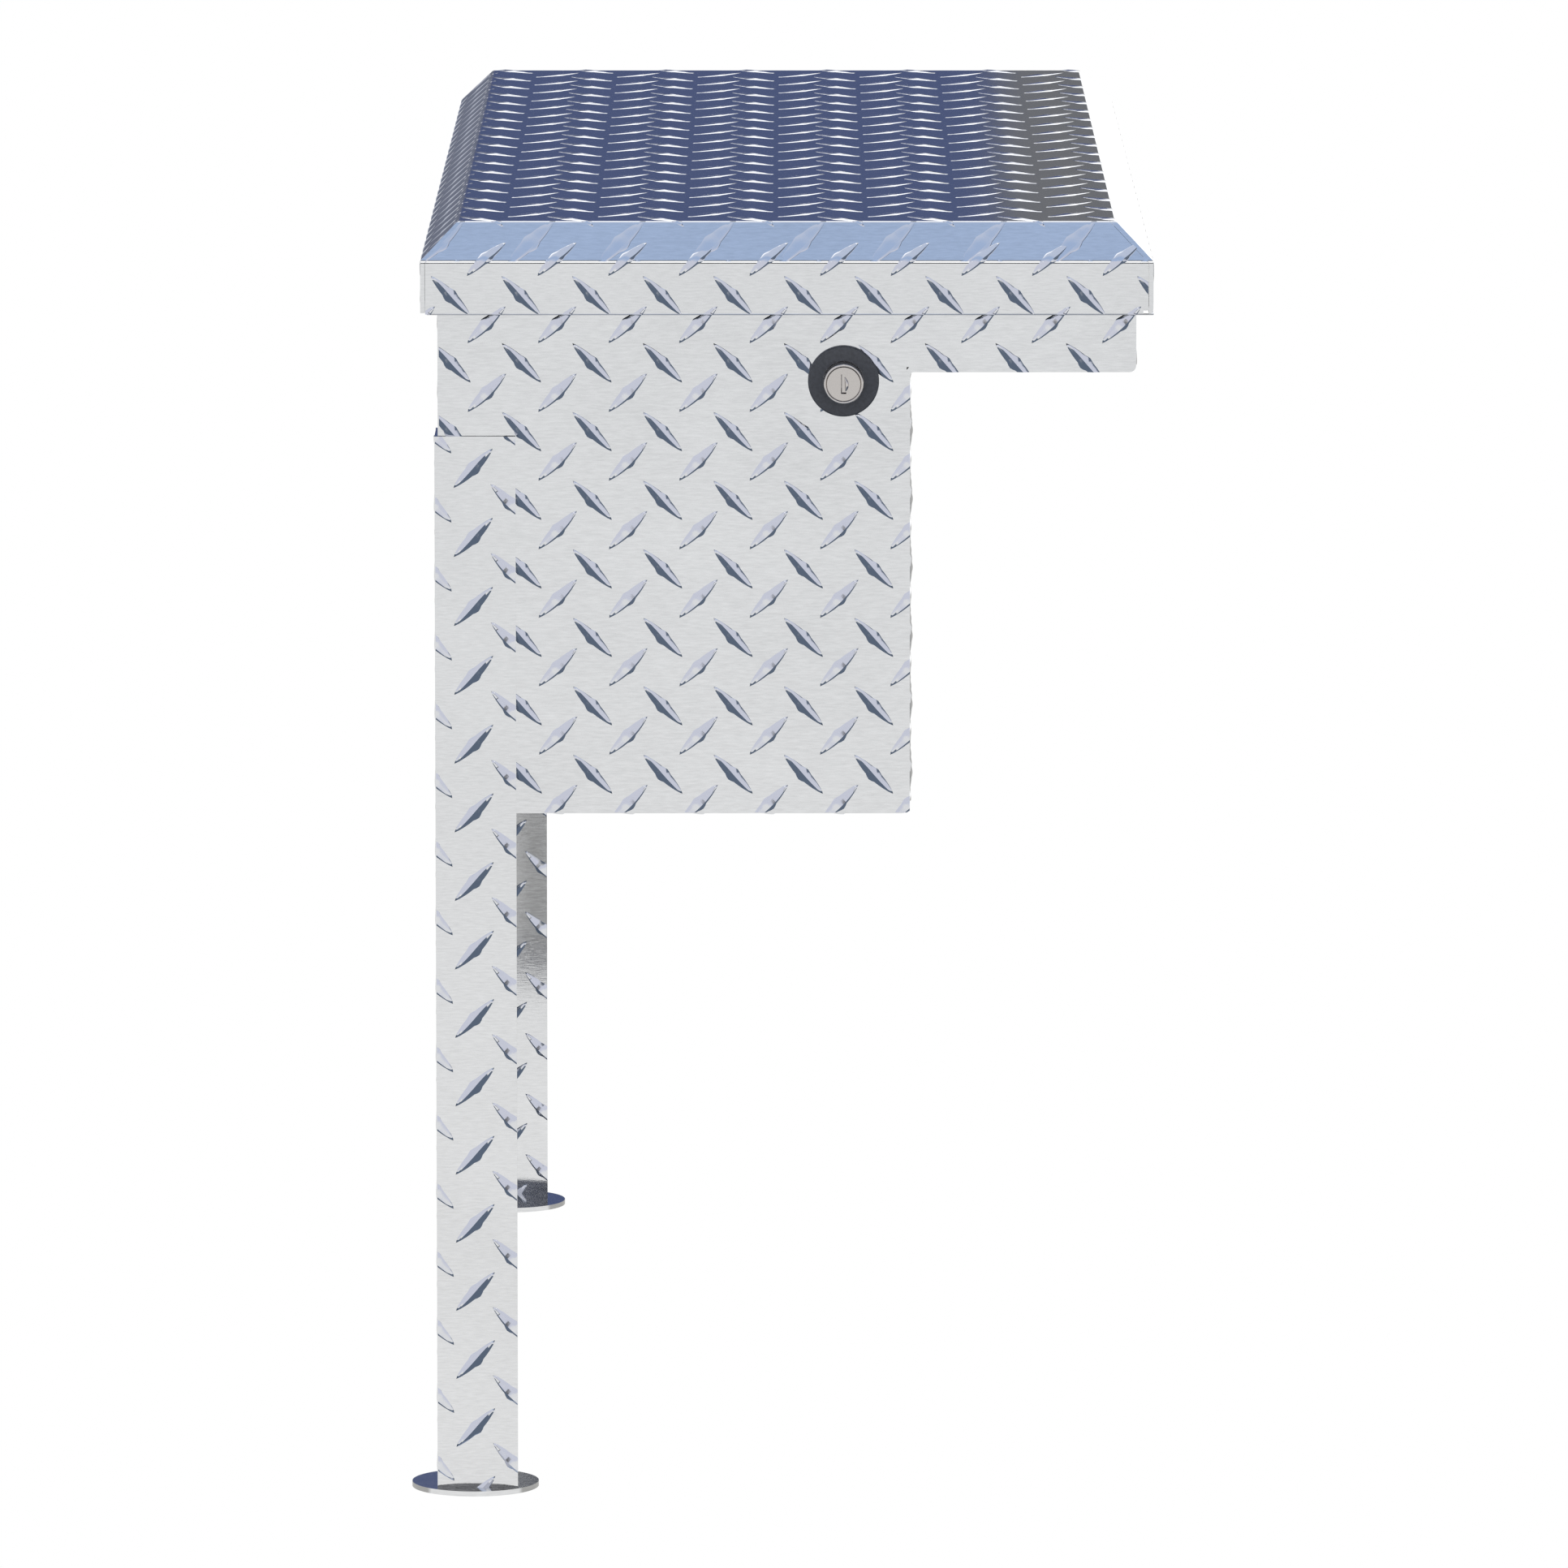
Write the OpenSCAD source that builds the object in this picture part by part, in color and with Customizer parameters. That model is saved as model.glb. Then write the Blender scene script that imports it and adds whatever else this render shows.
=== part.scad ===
// Tread-plate side rail tool box: an L-section box on two legs with a chamfered lid,
// a long hinge on the leg side and a push-button lock in one end.
// Millimetres, +Z up, floor at Z = 0, length along Y with the lock end at -Y,
// overhang towards +X. The origin is the bottom centre of the bounding box.

/* [Lid] */
// Outside width of the lid
lid_w = 329.2; // [326:0.2:334]
// Outside length of the lid
lid_l = 836; // [700:1:1200]
// Height of the lid's upright skirt
skirt_h = 24; // [22:0.5:30]
// Run and rise of the chamfer between skirt and top
chamfer = 16.5; // [14:0.5:18]
// Outside bend radius of the lid sheet
lid_bend_r = 2.5; // [2.2:0.1:4]
// Width of the in-turned lip under the free-side skirt
lip_w = 4.4; // [3.5:0.1:4.6]

/* [Box] */
// Outside width of the box under the lid
box_w = 314.2; // [312:0.2:315]
// Sideways reach of the overhang past the lower part
overhang = 101.6; // [60:0.1:130]
// Gap between the box end and the lid end, outside to outside
end_gap = 7.4; // [6:0.1:9]
// Drop from the skirt's top to the underside of the overhang
step_drop = 50.8; // [48:0.1:70]
// Drop from the skirt's top to the underside of the box
box_drop = 251; // [220:1:320]
// Thickness of the box and lid sheet
sheet_t = 2; // [1.8:0.1:2.2]
// Width of the in-turned rim flange
rim_w = 21; // [18:0.5:24]
// Radius of the two rail bolt holes in the overhang's floor
rail_hole_r = 4.5; // [3:0.25:6]
// Spacing of the two rail bolt holes
rail_hole_gap = 600; // [300:10:640]

/* [Legs] */
// Height of the box's underside above the floor
stand_h = 311.2; // [150:0.1:450]
// Width of a leg's end flange, across the box
leg_w = 36.5; // [30:0.5:42]
// Width of a leg's side flange, along the box
leg_d = 36.5; // [30:0.5:42]
// Thickness of the leg sheet
leg_t = 1.5; // [1.2:0.1:2]
// Height of the leg's angle up the box walls
leg_lap = 171.3; // [100:0.1:185]
// Radius of a foot disc
foot_r = 28.8; // [26:0.1:34]
// Thickness of a foot disc
foot_t = 2.3; // [2:0.1:5]
// How far a foot's middle lies outwards of its leg's middle, across the box
foot_out = 1.4; // [0:0.1:3]

/* [Lock] */
// Sideways place of the lock from the middle of the lid
lock_x = 25.5; // [0:0.5:34]
// Drop from the skirt's top to the lock's axis
lock_drop = 54.7; // [54:0.1:60]
// Radius of the black bezel disc
bezel_r = 16; // [14:0.5:20]
// Radius of the push button
button_r = 8.9; // [8:0.1:9.5]
// How far the button stands out of the end panel
button_out = 14.7; // [12:0.1:16]
// Travel of the button
button_travel = 6; // [5:0.5:6]

/* [Hidden] */
$fn = 64;

// Heights
skirt_top_z = stand_h + box_drop;
skirt_bot_z = skirt_top_z - skirt_h;
lid_top_z = skirt_top_z + chamfer;
step_z = skirt_top_z - step_drop;
rim_z = skirt_top_z + 0.9;
lock_z = skirt_top_z - lock_drop;
leg_top_z = stand_h + leg_lap;

// Half sizes, measured from the middle of the lid
lid_hw = lid_w / 2;
lid_hl = lid_l / 2;
box_hw = box_w / 2;
box_hl = lid_hl - end_gap;
step_x = box_hw - overhang;
rim_in = box_hw - rim_w;
lip_r = 2.8;
hinge_side_lift = 0.6;
seam = 0.15;
relief_depth = 8;
eps = 0.01;

// Legs and feet
leg_x = -box_hw - leg_t;
leg_y = box_hl + leg_t;
foot_x = leg_x + leg_w / 2 - foot_out;
foot_y = leg_y - leg_d / 2;
seam_groove = 0.4;

// Hinge
hinge_x = -(lid_hw - sheet_t + box_hw) / 2;
hinge_z = skirt_bot_z + 2.5;
knuckle_r = 2.2;
pin_r = 1;
running = 0.05;
leaf_t = 1.2;
leaf_top = hinge_z + 18;
leaf_low = hinge_z + 2.6;
knuckles = 13;
knuckle_pitch = 60;
knuckle_gap = 0.5;
hinge_l = knuckles * knuckle_pitch;
rivet_r = 1.6;
rivet_head_r = 2.6;
rivet_z = hinge_z + 11;
body_rivet_y = [-325, -195, -65, 65, 195, 325];
lid_rivet_y = [-260, -130, 0, 130, 260];

// Lock and latch; lock heights run outwards from the end panel's outer face
housing_r = 12.4;
housing_l = 24;
housing_wall = 1.5;
bezel_t = 2.2;
bezel_edge = 0.6;
nut_r = 17;
nut_t = 5;
plug_r = 7.5;
button_back = -12;
plug_seat = -9;
stem_r = 3;
stem_end = -28;
keyway_w = 2.4;
keyway_h = 8.8;
keyway_depth = 14;
plug_face = button_out - 0.4;
pawl_y = -box_hl + 24.6;
pawl_z = lock_z + 25.6;
pawl_hw = 5;
pawl_pin_r = 2;
cheek_x = 9;
cheek_t = 2;
strike_z = pawl_z + 15;
strike_y = pawl_y + 9.1;
strike_r = 2;
strike_hw = 9;

// Placing the model's lid centre so that the bounding box is centred
reach_left = -foot_x + foot_r;
frame_x = (reach_left - lid_hw) / 2;
reach_far = foot_y + foot_r;
frame_y = (box_hl + button_out - reach_far) / 2;

module at_frame() {
    translate([frame_x, frame_y, 0]) children();
}

// Sketch x and y become X and Z; the extrusion runs along Y
module along_y(l) {
    rotate([90, 0, 0]) linear_extrude(l, center = true) children();
}

// Sketch x and y become Y and Z; the extrusion runs along X
module along_x(l) {
    rotate([90, 0, 90]) linear_extrude(l, center = true) children();
}

module far_copy() {
    mirror([0, 1, 0]) children();
}

// Local +Z points out of the end panel at the lock, local +Y points up
module at_lock() {
    translate([lock_x, -box_hl, lock_z]) rotate([90, 0, 0]) children();
}

// Points of an arc of radius r that rounds the corner p between a and b
function corner(a, p, b, r, n = 5) =
    let (u = (a - p) / norm(a - p))
    let (v = (b - p) / norm(b - p))
    let (half = acos(u * v) / 2)
    let (mid = p + (u + v) / norm(u + v) * r / sin(half))
    let (s = p + u * r / tan(half) - mid)
    let (e = p + v * r / tan(half) - mid)
    let (from = atan2(s[1], s[0]))
    let (turn = (atan2(e[1], e[0]) - from + 900) % 360 - 180)
    [for (i = [0:n]) mid + r * [cos(from + turn * i / n), sin(from + turn * i / n)]];

// A polygon with each corner rounded by its own radius; 0 keeps it sharp
function rounded(pts, radii) = [
    for (i = [0:len(pts) - 1])
        each radii[i] > 0
            ? corner(pts[(i + len(pts) - 1) % len(pts)], pts[i], pts[(i + 1) % len(pts)], radii[i])
            : [pts[i]]
];

function ring_points(c, u, v, r, sides) =
    [for (j = [0:sides - 1]) c + r * (u * cos(360 * j / sides) + v * sin(360 * j / sides))];

// A round wire coiled about +Z, starting at height z0
module coil(r, wire, turns, z0, z1, sides = 8, per_turn = 20) {
    rings = turns * per_turn;
    points = [
        for (i = [0:rings])
            let (a = 360 * i / per_turn)
            let (c = [r * cos(a), r * sin(a), z0 + (z1 - z0) * i / rings])
            each ring_points(c, [cos(a), sin(a), 0], [0, 0, 1], wire, sides)
    ];
    walls = [
        for (i = [0:rings - 1])
            for (j = [0:sides - 1])
                let (k = (j + 1) % sides)
                [i * sides + j, (i + 1) * sides + j, (i + 1) * sides + k, i * sides + k]
    ];
    first = [for (j = [0:sides - 1]) j];
    last = [for (j = [0:sides - 1]) rings * sides + sides - 1 - j];
    polyhedron(points = points, faces = concat(walls, [first], [last]), convexity = 8);
}

// ---- Box ----

// The box's L-shaped end outline, taken in by d
module box_outline(d) {
    r = [3 - d, 3.6 - d, 1.5 + d, 3 - d, 0, 0];
    pts = [
        [-box_hw + d, stand_h + d],
        [step_x - d, stand_h + d],
        [step_x - d, step_z + d],
        [box_hw - d, step_z + d],
        [box_hw - d, rim_z - d],
        [-box_hw + d, rim_z - d]
    ];
    polygon(rounded(pts, r));
}

module body_rivet_holes() {
    for (y = body_rivet_y)
        translate([-box_hw - leaf_t - 1, y, rivet_z]) rotate([0, 90, 0])
            cylinder(r = rivet_r, h = leaf_t + sheet_t + 2);
}

// Small corner relief in the sheets at the inside corner of the L, through both ends
module corner_relief() {
    translate([step_x - 1.6, step_z + 1]) polygon([[0, 0], [0, 1.3], [1.1, 1.3]]);
}

module body_wrap() {
    color("silver") at_frame() difference() {
        along_y(2 * (box_hl - sheet_t)) difference() {
            box_outline(0);
            box_outline(sheet_t);
            translate([-rim_in, rim_z - sheet_t - 1]) square([2 * rim_in, sheet_t + 2]);
        }
        for (side = [-1, 1])
            translate([0, side * box_hl, 0]) along_y(2 * relief_depth) corner_relief();
        body_rivet_holes();
        for (side = [-1, 1])
            translate([(step_x + box_hw) / 2, side * rail_hole_gap / 2, step_z - 1])
                cylinder(r = rail_hole_r, h = sheet_t + 2);
    }
}

module end_panel() {
    translate([0, -box_hl + sheet_t / 2, 0]) along_y(sheet_t) difference() {
        box_outline(0);
        corner_relief();
    }
    translate([-rim_in, -box_hl + sheet_t, rim_z - sheet_t])
        cube([2 * rim_in, rim_w - sheet_t, sheet_t]);
}

module end_panel_near() {
    color("gainsboro") at_frame() difference() {
        end_panel();
        at_lock() translate([0, 0, -sheet_t - 1]) cylinder(r = housing_r, h = sheet_t + 2);
    }
}

module end_panel_far() {
    color("gainsboro") at_frame() far_copy() end_panel();
}

module seal_ring(inset, w, z, h) {
    x = rim_in + inset;
    y = box_hl - rim_w + inset;
    r = 6;
    outer = [[-x - w, -y - w], [x + w, -y - w], [x + w, y + w], [-x - w, y + w]];
    inner = [[-x, -y], [x, -y], [x, y], [-x, y]];
    translate([0, 0, z]) linear_extrude(h) difference() {
        polygon(rounded(outer, [r + w, r + w, r + w, r + w]));
        polygon(rounded(inner, [r, r, r, r]));
    }
}

module rim_seal() {
    bulb_h = lid_top_z - sheet_t - rim_z - 4 - 0.3;
    color("#202224") at_frame() {
        seal_ring(1, 9, rim_z, 4);
        seal_ring(2, 7, rim_z + 4, bulb_h);
    }
}

// ---- Legs ----

// An open angle round the box's corner, from the foot up the box walls
module leg() {
    front = -leg_y;
    angle_h = leg_top_z - foot_t;
    difference() {
        union() {
            translate([leg_x, front, foot_t]) cube([leg_w, leg_t, angle_h]);
            translate([leg_x, front, foot_t]) cube([leg_t, leg_d, angle_h]);
        }
        translate([leg_x + leg_t, front - eps, foot_t - 1])
            cube([seam_groove, seam_groove, leg_top_z]);
    }
}

module foot() {
    translate([foot_x, -foot_y, 0]) cylinder(r = foot_r, h = foot_t);
}

module leg_near() {
    color("lightgray") at_frame() leg();
}

module leg_far() {
    color("lightgray") at_frame() far_copy() leg();
}

module foot_near() {
    color("silver") at_frame() foot();
}

module foot_far() {
    color("silver") at_frame() far_copy() foot();
}

// ---- Hinge ----

// Knuckles first, first + 2, ... of the row
module knuckle_row(first, grow = 0) {
    for (i = [first:2:knuckles - 1])
        translate([hinge_x, -hinge_l / 2 + i * knuckle_pitch + knuckle_gap / 2, hinge_z])
            rotate([-90, 0, 0]) cylinder(r = knuckle_r + grow, h = knuckle_pitch - knuckle_gap);
}

// A hinge leaf lying against x, with tabs down to its own knuckles
module leaf(x, first) {
    translate([x, -hinge_l / 2, leaf_low]) cube([leaf_t, hinge_l, leaf_top - leaf_low]);
    for (i = [first:2:knuckles - 1])
        translate([x, -hinge_l / 2 + i * knuckle_pitch + knuckle_gap / 2, hinge_z])
            cube([leaf_t, knuckle_pitch - knuckle_gap, leaf_low - hinge_z + eps]);
    knuckle_row(first);
}

module hinge_bore() {
    translate([hinge_x, 0, hinge_z]) rotate([90, 0, 0])
        cylinder(r = pin_r + running, h = hinge_l + 2, center = true);
}

module lid_rivet_holes() {
    for (y = lid_rivet_y)
        translate([-lid_hw - 1, y, rivet_z]) rotate([0, 90, 0])
            cylinder(r = rivet_r, h = sheet_t + leaf_t + 2);
}

module hinge_leaf_body() {
    color("lightsteelblue") at_frame() difference() {
        leaf(-box_hw - leaf_t, 0);
        hinge_bore();
        body_rivet_holes();
    }
}

module hinge_leaf_lid() {
    color("lightsteelblue") at_frame() difference() {
        leaf(-lid_hw + sheet_t, 1);
        hinge_bore();
        lid_rivet_holes();
    }
}

module hinge_pin() {
    color("dimgray") at_frame() translate([hinge_x, 0, hinge_z]) rotate([90, 0, 0])
        cylinder(r = pin_r, h = hinge_l, center = true);
}

// A pop rivet along +X: head before x = 0, grip through the sheets, upset end after
module rivet(head_t, grip, tail_t) {
    rotate([0, 90, 0]) {
        translate([0, 0, -head_t]) cylinder(r1 = rivet_head_r - 0.9, r2 = rivet_head_r, h = head_t);
        cylinder(r = rivet_r, h = grip);
        translate([0, 0, grip]) cylinder(r1 = rivet_head_r - 0.3, r2 = rivet_head_r - 0.8, h = tail_t);
    }
}

module hinge_rivets_body() {
    color("gray") at_frame() for (y = body_rivet_y)
        translate([-box_hw - leaf_t, y, rivet_z]) rivet(0.8, leaf_t + sheet_t, 1.6);
}

module hinge_rivets_lid() {
    color("gray") at_frame() for (y = lid_rivet_y)
        translate([-lid_hw, y, rivet_z]) rivet(1, sheet_t + leaf_t, 0.6);
}

// ---- Lid ----

// Half width or half length hw, taken in by d; low_r rounds the bottom corner on the + side
module lid_outline(hw, d, low_r = 0) {
    k = d * tan(22.5);
    r = lid_bend_r - d;
    low = skirt_bot_z + d;
    pts = [
        [-hw + d, low], [hw - d, low],
        [hw - d, skirt_top_z - k], [hw - chamfer - k, lid_top_z - d],
        [-hw + chamfer + k, lid_top_z - d], [-hw + d, skirt_top_z - k]
    ];
    polygon(rounded(pts, [0, low_r, r, r, r, r]));
}

// Folded sheet: both long skirts, both long chamfers and the top
module lid_side_section() {
    difference() {
        lid_outline(lid_hw, 0, lip_r);
        lid_outline(lid_hw, sheet_t, lip_r - sheet_t);
        translate([-lid_hw + sheet_t, skirt_bot_z - 1])
            square([lid_w - sheet_t - lip_w, sheet_t + 2]);
        translate([-lid_hw - 1, skirt_bot_z - 1]) square([sheet_t + 2, 1 + hinge_side_lift]);
    }
}

module lid_end_section() {
    difference() {
        polygon(rounded([
            [-lid_hl, skirt_bot_z], [0, skirt_bot_z], [0, lid_top_z],
            [-lid_hl + chamfer, lid_top_z], [-lid_hl, skirt_top_z]
        ], [0, 0, 0, lid_bend_r, lid_bend_r]));
        lid_outline_inner_end();
    }
}

module lid_outline_inner_end() {
    k = sheet_t * tan(22.5);
    r = lid_bend_r - sheet_t;
    polygon(rounded([
        [-lid_hl + sheet_t, skirt_bot_z - 1], [1, skirt_bot_z - 1], [1, lid_top_z - sheet_t],
        [-lid_hl + chamfer + k, lid_top_z - sheet_t], [-lid_hl + sheet_t, skirt_top_z - k]
    ], [0, 0, 0, r, r]));
}

// The space between the long sides' inner faces, run on above the top, at the near end
module end_gate(gap) {
    k = sheet_t * tan(22.5);
    x = lid_hw - sheet_t - gap;
    rise = lid_top_z + 1 - skirt_top_z + k;
    depth = chamfer + lid_bend_r * tan(22.5) + 1.1 - gap;
    pts = [
        [-x, skirt_bot_z - 1], [x, skirt_bot_z - 1], [x, skirt_top_z - k],
        [x - rise, lid_top_z + 1], [-x + rise, lid_top_z + 1], [-x, skirt_top_z - k]
    ];
    translate([0, -lid_hl - 1 + depth / 2, 0]) along_y(depth) polygon(pts);
}

module lid_skin() {
    color("slategray") at_frame() difference() {
        intersection() {
            along_y(lid_l) lid_side_section();
            along_x(lid_w) lid_outline(lid_hl, 0);
        }
        end_gate(0);
        far_copy() end_gate(0);
        lid_rivet_holes();
    }
}

module lid_end() {
    lip = lip_w + seam;
    difference() {
        intersection() {
            along_x(lid_w) lid_end_section();
            end_gate(seam);
        }
        translate([lid_hw - lip, -lid_hl - 1, skirt_bot_z - 1])
            cube([lip, sheet_t + 2, sheet_t + seam + 1]);
    }
}

module lid_end_near() {
    color("lightsteelblue") at_frame() lid_end();
}

module lid_end_far() {
    color("lightsteelblue") at_frame() far_copy() lid_end();
}

// Hat channel under the middle of the top
module lid_stiffener() {
    w = 60;
    brim = 12;
    h = 12;
    t = 1.5;
    z = lid_top_z - sheet_t;
    pts = [
        [-w / 2 - brim, z], [-w / 2 - brim, z - t], [-w / 2 - t, z - t], [-w / 2 - t, z - h],
        [w / 2 + t, z - h], [w / 2 + t, z - t], [w / 2 + brim, z - t], [w / 2 + brim, z],
        [w / 2, z], [w / 2, z - h + t], [-w / 2, z - h + t], [-w / 2, z]
    ];
    color("darkgray") at_frame() translate([-40, 0, 0]) along_y(lid_l - 150) polygon(pts);
}

module striker_plate() {
    w = 34;
    d = 22;
    t = 2.5;
    z = lid_top_z - sheet_t;
    color("gray") at_frame() translate([lock_x, strike_y, 0]) difference() {
        translate([-w / 2, -d / 2, z - t]) cube([w, d, t]);
        for (side = [-1, 1])
            translate([side * strike_hw, 0, z - t - 1]) cylinder(r = strike_r, h = t + 2);
    }
}

// Round-wire loop that the pawl catches
module striker_loop() {
    top = lid_top_z - sheet_t;
    bend = 3.5;
    arm = strike_hw - bend;
    color("darkgray") at_frame() translate([lock_x, strike_y, strike_z]) {
        rotate([0, 90, 0]) cylinder(r = strike_r, h = 2 * arm, center = true);
        for (side = [0, 1]) mirror([side, 0, 0]) {
            translate([strike_hw, 0, bend]) cylinder(r = strike_r, h = top - strike_z - bend);
            translate([arm, 0, bend]) rotate([90, 0, 0]) rotate_extrude(angle = -90)
                translate([bend, 0]) circle(r = strike_r);
        }
    }
}

// ---- Lock ----

module lock_bezel() {
    color("#3c3f45") at_frame() at_lock() difference() {
        union() {
            cylinder(r = bezel_r, h = bezel_t - bezel_edge);
            translate([0, 0, bezel_t - bezel_edge])
                cylinder(r1 = bezel_r, r2 = bezel_r - bezel_edge, h = bezel_edge);
        }
        translate([0, 0, -1]) cylinder(r = button_r + 0.3, h = bezel_t + 2);
    }
}

module lock_housing() {
    color("gray") at_frame() at_lock() difference() {
        translate([0, 0, -housing_l]) cylinder(r = housing_r, h = housing_l);
        translate([0, 0, -housing_l + housing_wall])
            cylinder(r = button_r + running, h = housing_l);
        translate([0, 0, -housing_l - 1]) cylinder(r = stem_r + running, h = housing_wall + 2);
    }
}

module lock_nut() {
    color("dimgray") at_frame() at_lock() translate([0, 0, -sheet_t - nut_t]) difference() {
        rotate([0, 0, 30]) cylinder(r = nut_r, h = nut_t, $fn = 6);
        translate([0, 0, -1]) cylinder(r = housing_r, h = nut_t + 2);
    }
}

module push_button() {
    edge = 0.5;
    color("#cfc8c2") at_frame() at_lock() difference() {
        union() {
            translate([0, 0, button_back]) cylinder(r = button_r, h = button_out - button_back - edge);
            translate([0, 0, button_out - edge]) cylinder(r1 = button_r, r2 = button_r - edge, h = edge);
            translate([0, 0, stem_end]) cylinder(r = stem_r, h = button_back - stem_end + eps);
        }
        translate([0, 0, plug_seat]) cylinder(r = plug_r + running, h = button_out - plug_seat + 1);
    }
}

module button_spring() {
    color("lightgray") at_frame() at_lock()
        coil(5.6, 0.45, 5, -housing_l + housing_wall + 0.5, button_back - 0.5);
}

module key_plug() {
    color("#d8d2cc") at_frame() at_lock() difference() {
        translate([0, 0, plug_seat + running])
            cylinder(r = plug_r, h = plug_face - plug_seat - running);
        translate([-keyway_w / 2, -keyway_h / 2, plug_face - keyway_depth])
            cube([keyway_w, keyway_h, keyway_depth + 1]);
    }
}

// Sprung dust leaf just inside the keyway
module key_shutter() {
    inset = 0.9;
    depth = 3;
    side = 0.45;
    low = 0.6;
    color("#b9aea5") at_frame() at_lock()
        translate([side - keyway_w / 2, low - keyway_h / 2, plug_face - inset - depth])
            cube([keyway_w - side, keyway_h - low, depth]);
}

module latch_bracket() {
    depth = pawl_y + box_hl - sheet_t + 6;
    low = pawl_z - 6;
    color("gray") at_frame() translate([lock_x, -box_hl + sheet_t, low]) difference() {
        union() {
            translate([-cheek_x - cheek_t, 0, 0]) cube([2 * (cheek_x + cheek_t), 1.5, 15]);
            for (side = [0, 1]) mirror([side, 0, 0])
                translate([cheek_x, 0, 0]) cube([cheek_t, depth, 13]);
        }
        translate([0, pawl_y + box_hl - sheet_t, pawl_z - low]) rotate([0, 90, 0])
            cylinder(r = pawl_pin_r, h = 40, center = true);
    }
}

module pawl_pin() {
    color("dimgray") at_frame() translate([lock_x, pawl_y, pawl_z]) rotate([0, 90, 0])
        cylinder(r = pawl_pin_r, h = 2 * (cheek_x + cheek_t) + 1.6, center = true);
}

module pawl_spring() {
    color("lightgray") at_frame() translate([lock_x, pawl_y, pawl_z]) rotate([0, 90, 0])
        coil(2.75, 0.35, 3, pawl_hw + 0.7, cheek_x - 0.6);
}

// Rocking latch: the button's stem pushes the lower arm, the upper hook lets the striker go
module latch_pawl() {
    arm_face = -box_hl - stem_end + 0.7;
    arm_back = arm_face + 4.5;
    pad = 4.5;
    boss = 3.6;
    neck = 2.5;
    nose = pawl_y + 6.6;
    nose_z = strike_z + strike_r + 2;
    hook_top = nose_z + 3;
    pts = [
        [pawl_y - boss, pawl_z - boss], [arm_face, lock_z + pad], [arm_face, lock_z - pad],
        [arm_back, lock_z - pad], [arm_back, lock_z + 8], [pawl_y + boss, pawl_z + 3],
        [pawl_y + neck, nose_z], [nose, nose_z], [nose, nose_z + 1],
        [pawl_y + neck, hook_top], [pawl_y - neck, hook_top], [pawl_y - boss, pawl_z + 3]
    ];
    color("darkgray") at_frame() translate([lock_x, 0, 0]) difference() {
        along_x(2 * pawl_hw)
            polygon(rounded(pts, [1.5, 0.5, 0.5, 1, 1, 1, 0, 0, 0, 1, 1, 1]));
        translate([0, pawl_y, pawl_z]) rotate([0, 90, 0])
            cylinder(r = pawl_pin_r + running, h = 4 * pawl_hw, center = true);
    }
}

body_wrap();
end_panel_near();
end_panel_far();
rim_seal();
leg_near();
leg_far();
foot_near();
foot_far();
hinge_leaf_body();
hinge_pin();
hinge_rivets_body();
lock_bezel();
lock_housing();
lock_nut();
button_spring();
latch_bracket();
pawl_pin();
pawl_spring();
lid_skin();
lid_end_near();
lid_end_far();
lid_stiffener();
hinge_leaf_lid();
hinge_rivets_lid();
striker_plate();
striker_loop();
push_button();
key_plug();
key_shutter();
latch_pawl();
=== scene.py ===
"""Looks of the tread-plate side rail tool box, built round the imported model."""

import math

import bmesh
import bpy
import numpy as np
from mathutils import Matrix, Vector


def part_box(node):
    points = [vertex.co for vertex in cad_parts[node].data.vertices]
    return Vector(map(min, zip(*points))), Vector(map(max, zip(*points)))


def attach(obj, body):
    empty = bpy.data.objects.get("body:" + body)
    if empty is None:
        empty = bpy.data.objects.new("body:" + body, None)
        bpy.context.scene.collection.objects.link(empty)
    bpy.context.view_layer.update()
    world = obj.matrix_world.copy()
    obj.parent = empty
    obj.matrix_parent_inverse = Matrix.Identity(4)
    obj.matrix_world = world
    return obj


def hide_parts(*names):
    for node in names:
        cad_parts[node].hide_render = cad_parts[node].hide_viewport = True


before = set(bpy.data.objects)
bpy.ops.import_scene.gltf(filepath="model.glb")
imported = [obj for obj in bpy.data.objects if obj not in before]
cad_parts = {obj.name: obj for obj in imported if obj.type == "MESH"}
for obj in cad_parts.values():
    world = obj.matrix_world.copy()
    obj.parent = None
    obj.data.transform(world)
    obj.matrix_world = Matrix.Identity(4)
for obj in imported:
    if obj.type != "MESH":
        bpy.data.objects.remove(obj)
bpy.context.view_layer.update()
scene = bpy.context.scene
MM = 0.001

# ---- Places in millimetres, x and y from the middle of the lid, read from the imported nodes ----


def node_box(name):
    """Lowest and highest corner of a CAD node, in millimetres in its own frame."""
    low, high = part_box(name)
    return np.array(low) / MM, np.array(high) / MM


lid_lo, lid_hi = node_box("lid_skin")
MID = np.array([(lid_lo[0] + lid_hi[0]) / 2, (lid_lo[1] + lid_hi[1]) / 2, 0])
LID_HW, LID_HL = (lid_hi - lid_lo)[:2] / 2
LID_TOP = lid_hi[2]
SKIRT_BOT = lid_lo[2]
CHAMFER = 16.5  # rise of the lid's chamfers, which lie at 45 degrees
SKIRT_TOP = LID_TOP - CHAMFER
LID_BEND = 2.5  # outer radius of the lid's folds
panel_lo, panel_hi = node_box("end_panel_near")
BOX_HW = (panel_hi[0] - panel_lo[0]) / 2
BOX_HL = MID[1] - panel_lo[1]
BOX_LOW = panel_lo[2]
OVERHANG = 101.6
OVERHANG_DROP = 50.8
STEP_X = BOX_HW - OVERHANG
STEP_Z = SKIRT_TOP - OVERHANG_DROP
leg_lo, leg_hi = node_box("leg_near")
LEG_X0, LEG_X1 = leg_lo[0] - MID[0], leg_hi[0] - MID[0]
LEG_Y0, LEG_Y1 = leg_lo[1] - MID[1], leg_hi[1] - MID[1]
LEG_TOP = leg_hi[2]
LEG_T = -LEG_Y0 - BOX_HL
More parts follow.
